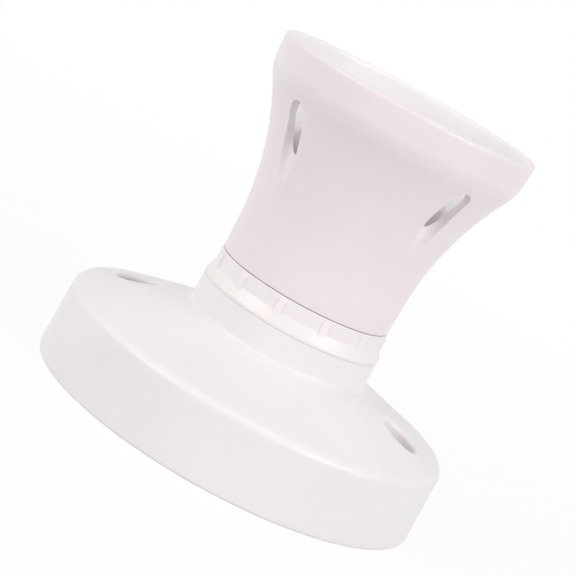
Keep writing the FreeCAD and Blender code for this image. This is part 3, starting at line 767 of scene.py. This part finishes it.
core = lathe("core_moulding", finely_divided(rounded([
    (CHAMBER_RADIUS, neck_top - SPIGOT_DEPTH, 0.3),
    (SPIGOT_RADIUS, neck_top - SPIGOT_DEPTH, 0.4),
    (SPIGOT_RADIUS, neck_top, 0),
    (FLANGE_RADIUS, neck_top, 0.25),
    (FLANGE_RADIUS, flange_top, 0.6),
    (RING_RADIUS, slope_top, 1.0),
    (RING_RADIUS, ring_top, 0.15),
    (thread_root, ring_top, 0.2),
    *thread_wall,
    (thread_root, thread_top, 0.3),
    (BARREL_RADIUS, thread_top, 0.2),
    (BARREL_RADIUS, core_top, 0.7),
    (BARREL_BORE, core_top, 0.4),
    (BARREL_BORE, floor_top, 0.3),
    (0.0, floor_top, 0),
    (0.0, floor_bottom, 0),
    (CHAMBER_RADIUS, floor_bottom, 0.4),
])), core_plastic, 224)
roll_thread(core, thread_root, THREAD_DEPTH, thread_low, thread_high, THREAD_PITCH, FLAT_CRESTS)

# %% Grip ribs, bosses and barrier
GRIP_COUNT = 12
GRIP_TURN = 0.5
GRIP_WIDTH = 1.7
GRIP_PROUD = 0.35
GRIP_GAP = 0.5
BOSS_RADIUS = 3.2
BARRIER = (0.6, 6.5, 6.0)
grips = []
for number in range(GRIP_COUNT):
    grip = box_between("grip", (RING_RADIUS - 0.5, -GRIP_WIDTH / 2, flange_top - 0.4),
                       (RING_RADIUS + GRIP_PROUD, GRIP_WIDTH / 2, ring_top - GRIP_GAP),
                       core_plastic)
    ease_edges(grip, 0.3, steps=4)
    turn = math.radians(GRIP_TURN) + 2 * math.pi * number / GRIP_COUNT
    grip.data.transform(Matrix.Rotation(turn, 4, "Z"))
    grips.append(grip)
carve(core, "UNION", join("grips", grips))
extras = []
for side in (1, -1):
    extras.append(lathe("boss", rounded([
        (0.0, LEDGE_HIGH, 0), (BOSS_RADIUS, LEDGE_HIGH, 0.3),
        (BOSS_RADIUS, floor_bottom + 1, 0), (0.0, floor_bottom + 1, 0)]),
        core_plastic, 48, (0.0, side * core_screw_offset)))
extras.append(ease_edges(box_between(
    "barrier", (-BARRIER[0], -BARRIER[1], floor_bottom - BARRIER[2]),
    (BARRIER[0], BARRIER[1], floor_bottom + 1), core_plastic), 0.2))
core = smooth(join("core_moulding", [core] + extras))
dress(core, "holder", "core_plastic", "holder_core")


# %% [markdown]
# ## The lamp's screw shell
#
# The shell is a cup drawn from thin sheet, and its Edison thread is rolled into the wall:
# inside and outside wave together, so the sheet keeps its thickness. The same helix
# function does that, with round waves, on both faces of the wall.

# %% The shell
SHEET = 0.3
FOOT_INSET = 0.65
FOOT_HEIGHT = 5.7
STEP_HEIGHT = 0.8
FLOOR_HOLE = 9.0
EDISON_PITCH = 3.629
EDISON_DEPTH = 1.0
foot_bore = shell_bore - FOOT_INSET
foot_top = floor_top + FOOT_HEIGHT
step_top = foot_top + STEP_HEIGHT
shell = lathe("shell_sheet", finely_divided([Vector(corner) for corner in (
    (FLOOR_HOLE, floor_top), (foot_bore + SHEET, floor_top), (foot_bore + SHEET, foot_top),
    (shell_bore + SHEET, step_top), (shell_bore + SHEET, shell_top), (shell_bore, shell_top),
    (shell_bore, step_top), (foot_bore, foot_top), (foot_bore, floor_top + SHEET),
    (FLOOR_HOLE, floor_top + SHEET))], 0.25), nickel, 160)
for face in (shell_bore, shell_bore + SHEET):
    roll_thread(shell, face, -EDISON_DEPTH, step_top + 0.2, shell_top - 0.5, EDISON_PITCH,
                ROUND_WAVES)
dress(smooth(shell, 40), "holder", "shell_metal", "screw_shell")


# %% [markdown]
# ## Contact, rivets and terminals
#
# A sprung brass leaf folds back over its foot and carries a domed pip, which the lamp
# presses down. Under the floor two brass strips take the wires beneath small square
# plates. The pip sits at the leaf's free end and rides on the centre contact; the leaf
# itself stays fixed.

# %% The contact leaf and its pip
LEAF_SHEET = 0.4
LEAF_WIDTH = 5.0
LEAF_FOLD = 5.0
LEAF_FOOT = 1.8
LEAF_STOPS = (3.0, 1.0, -3.2)
FOLD_STEPS = 14
PIP_SHANK = 1.5
PIP_NECK = 0.9
PIP_HEAD = 2.4
PIP_EDGE = 0.6
PIP_CROWN = 1.2


def leaf_side(inset):
    """The fold's points at a distance inside the leaf's outer face, as (across, up)."""
    outer = (leaf_top - floor_top) / 2
    points = []
    for step in range(FOLD_STEPS + 1):
        angle = -math.pi / 2 + math.pi * step / FOLD_STEPS
        points.append((LEAF_FOLD + (outer - inset) * math.cos(angle),
                       floor_top + outer + (outer - inset) * math.sin(angle)))
    return points


def extrude(name, outline, half_width, material):
    """Draws an upright outline out along Y, to both sides of the axis."""
    points = [(across, side * half_width, up) for side in (-1, 1) for across, up in outline]
    count = len(outline)
    faces = [tuple(range(count)), tuple(range(count, 2 * count))]
    faces += [(index, (index + 1) % count, (index + 1) % count + count, index + count)
              for index in range(count)]
    return make_piece(name, points, faces, material)


outer_face = ([(LEAF_FOOT, floor_top)] + leaf_side(0.0)
              + [(across, leaf_top) for across in LEAF_STOPS])
inner_face = ([(across, leaf_top - LEAF_SHEET) for across in reversed(LEAF_STOPS)]
              + leaf_side(LEAF_SHEET)[::-1] + [(LEAF_FOOT, floor_top + LEAF_SHEET)])
leaf = extrude("brass_leaf", outer_face + inner_face, LEAF_WIDTH / 2, brass)
smooth(ease_edges(leaf, 0.08, 60), 40)
pip = lathe("brass_pip", rounded([
    (0.0, bottom("contact_pip"), 0), (PIP_SHANK, bottom("contact_pip"), 0.15),
    (PIP_SHANK, leaf_top - LEAF_SHEET, 0), (PIP_NECK, leaf_top - LEAF_SHEET, 0),
    (PIP_NECK, leaf_top, 0), (PIP_HEAD, leaf_top, 0.1), (PIP_HEAD, leaf_top + PIP_EDGE, 0.3),
    (PIP_CROWN, top("contact_pip"), 0.8), (0.0, top("contact_pip"), 0)]), brass, 64)
dress(smooth(pip), "centre_contact", "contact_brass", "contact_pip")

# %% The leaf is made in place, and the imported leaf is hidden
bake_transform(leaf)
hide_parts("contact_leaf")

# %% Rivets
RIVET_HEAD = 1.35
RIVET_SHANK = 0.85
RIVET_RISE = 0.7


def rivet(node):
    under = bottom(node)
    over = top(node)
    piece = lathe(node + "_formed", rounded([
        (0.0, under, 0), (RIVET_HEAD, under, 0.45), (RIVET_HEAD, under + RIVET_RISE, 0),
        (RIVET_SHANK, under + RIVET_RISE, 0), (RIVET_SHANK, over - RIVET_RISE, 0),
        (RIVET_HEAD, over - RIVET_RISE, 0), (RIVET_HEAD, over, 0.45), (0.0, over, 0)]),
        brass, 40, middle_of(node))
    return dress(smooth(piece), "holder", "contact_brass", node)


for node in ("leaf_rivet", "neutral_rivet", "shell_rivet_back", "shell_rivet_front"):
    rivet(node)

# %% Terminal strips and clamp plates
CLAMP_SHANK = 1.5


def flat_metal(node, holes, material, slot):
    """A flat piece with broken edges and round holes."""
    low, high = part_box(node)
    piece = box_between(node + "_stamped", low / MM, high / MM, material)
    drills = [lathe("drill", [Vector((0.0, low.z / MM - 1)), Vector((radius, low.z / MM - 1)),
                              Vector((radius, high.z / MM + 1)), Vector((0.0, high.z / MM + 1))],
                    material, 32, spot) for spot, radius in holes]
    carve(piece, "DIFFERENCE", join("drills", drills))
    ease_edges(piece, 0.12)
    return dress(smooth(piece), "holder", slot, node)


for pole, rivet_node in (("live", "leaf_rivet"), ("neutral", "neutral_rivet")):
    screws = [middle_of(f"{pole}_clamp_screw_{place}") for place in ("back", "front")]
    holes = [(spot, CLAMP_SHANK) for spot in screws] + [(middle_of(rivet_node), RIVET_SHANK)]
    flat_metal(f"{pole}_terminal", holes, brass, "contact_brass")
    for place, spot in zip(("back", "front"), screws):
        flat_metal(f"{pole}_clamp_plate_{place}", [(spot, CLAMP_SHANK)], zinc, "plated_steel")

# %% Slotted screws
SLOT_HALF = 0.35
SLOT_DEPTH = 0.9
SCREW_THREAD = 0.18
CLAMP_HEAD = 2.6
CLAMP_HEAD_HEIGHT = 2.0
CLAMP_PITCH = 0.7
CORE_HEAD = 3.0
CORE_HEAD_HEIGHT = 2.1
CORE_SHANK = 1.45
CORE_PITCH = 1.0


def slotted_screw(node, head, rise, shank, pitch):
    centre = middle_of(node)
    under = bottom(node)
    over = top(node)
    piece = lathe(node + "_turned", finely_divided(rounded([
        (0.0, under, 0), (head, under, 0.5), (head, under + rise, 0.1),
        (shank, under + rise, 0), (shank, over, 0.3), (0.0, over, 0)]), pitch / 6),
        zinc, 48, centre)
    roll_thread(piece, shank, -SCREW_THREAD, under + rise + 0.2, over - 0.3, pitch,
                ROUND_WAVES, centre)
    slot = box_between("slot", (centre[0] - head - 1, centre[1] - SLOT_HALF, under - 1),
                       (centre[0] + head + 1, centre[1] + SLOT_HALF, under + SLOT_DEPTH), zinc)
    carve(piece, "DIFFERENCE", slot)
    return dress(smooth(piece), "holder", "plated_steel", node)


for place in ("back", "front"):
    for pole in ("live", "neutral"):
        slotted_screw(f"{pole}_clamp_screw_{place}", CLAMP_HEAD, CLAMP_HEAD_HEIGHT, CLAMP_SHANK,
                      CLAMP_PITCH)
    slotted_screw(f"core_screw_{place}", CORE_HEAD, CORE_HEAD_HEIGHT, CORE_SHANK, CORE_PITCH)


# %% [markdown]
# ## Floor and light
#
# The object stands in a bright, even room between two large soft boxes, one on each side of
# the camera, which light the upright walls and leave the hollow under the lip darker. Two
# weak lamps fill the far left and the top. To the camera the room is plain white, and so is
# the floor, apart from a trace of the object's shadow.

# %% Floor
FLOOR_SIZE = 12.0
SHADOW_SHARE = 0.10
SHADOW_REACH = (0.10, 0.45)
FLOOR_GREY = (0.72, 0.72, 0.72, 1)
CHALK_WHITE = (0.97, 0.97, 0.97, 1)
PLAIN_WHITE = (1, 1, 1, 1)


def shader_tree(owner):
    owner.use_nodes = True
    owner.node_tree.nodes.clear()
    return owner.node_tree


def seen_directly(tree):
    """1 for rays that show the background to the camera, straight or in a reflection."""
    rays = [add_node(tree, "ShaderNodeLightPath", output=index) for index in (0, 3, 6)]
    return rays[0].math("MAXIMUM", rays[0], rays[1].math("MAXIMUM", rays[1], rays[2]))


floor_paint = bpy.data.materials.new("floor_paint")
tree = shader_tree(floor_paint)
paint = add_node(tree, "ShaderNodeBsdfDiffuse", None, {"Color": FLOOR_GREY})
chalk = add_node(tree, "ShaderNodeBsdfDiffuse", None, {"Color": CHALK_WHITE})
glow = add_node(tree, "ShaderNodeEmission", None, {"Color": PLAIN_WHITE, "Strength": 1.0})
floor_place = add_node(tree, "ShaderNodeTexCoord", output=3)
far_off = floor_place.node("ShaderNodeVectorMath", {"operation": "LENGTH"}, {0: floor_place}, 1)
shadow = (1 - far_off.between(*SHADOW_REACH)) * SHADOW_SHARE
white_floor = add_node(tree, "ShaderNodeMixShader", None, {0: shadow, 1: glow, 2: chalk})
mixed = add_node(tree, "ShaderNodeMixShader", None, {0: seen_directly(tree), 1: paint, 2: white_floor})
add_node(tree, "ShaderNodeOutputMaterial", None, {"Surface": mixed}, None)
half_floor = FLOOR_SIZE / 2
floor_mesh = bpy.data.meshes.new("floor")
floor_mesh.from_pydata([(x * half_floor, y * half_floor, 0.0)
                        for x, y in ((-1, -1), (1, -1), (1, 1), (-1, 1))], [], [(0, 1, 2, 3)])
floor_mesh.materials.append(floor_paint)
floor = bpy.data.objects.new("floor", floor_mesh)
bpy.context.collection.objects.link(floor)

# %% Light
ROOM_LIGHT = 0.48
LAMP_DISTANCE = 1.45
LAMP_SIZE = 0.9
LIT_HEIGHT = 0.045
# Each lamp's place in degrees round from the camera and degrees up, and its watts
LAMPS = {"right": (55, 25, 9.8), "left": (-55, 25, 7.5), "side": (-100, 25, 1.9),
         "high": (0, 60, 1.1)}
world = bpy.data.worlds.new("bright_room")
bpy.context.scene.world = world
tree = shader_tree(world)
room = add_node(tree, "ShaderNodeBackground", None, {"Color": PLAIN_WHITE, "Strength": ROOM_LIGHT})
white = add_node(tree, "ShaderNodeBackground", None, {"Color": PLAIN_WHITE, "Strength": 1.0})
mixed = add_node(tree, "ShaderNodeMixShader", None, {0: seen_directly(tree), 1: room, 2: white})
add_node(tree, "ShaderNodeOutputWorld", None, {"Surface": mixed}, None)

middle = Vector((0, 0, LIT_HEIGHT))
for name, (turn, climb, watts) in LAMPS.items():
    lamp = bpy.data.objects.new(name + "_lamp", bpy.data.lights.new(name + "_lamp", "AREA"))
    bpy.context.collection.objects.link(lamp)
    lamp.data.size = LAMP_SIZE
    lamp.data.energy = watts
    around = azimuth + math.radians(turn)
    level = math.cos(math.radians(climb))
    out = Vector((level * math.sin(around), -level * math.cos(around),
                  math.sin(math.radians(climb))))
    lamp.location = middle + out * LAMP_DISTANCE
    lamp.rotation_euler = (-out).to_track_quat("-Z", "Y").to_euler()
    print(name, "lamp at", [round(value, 2) for value in lamp.location])
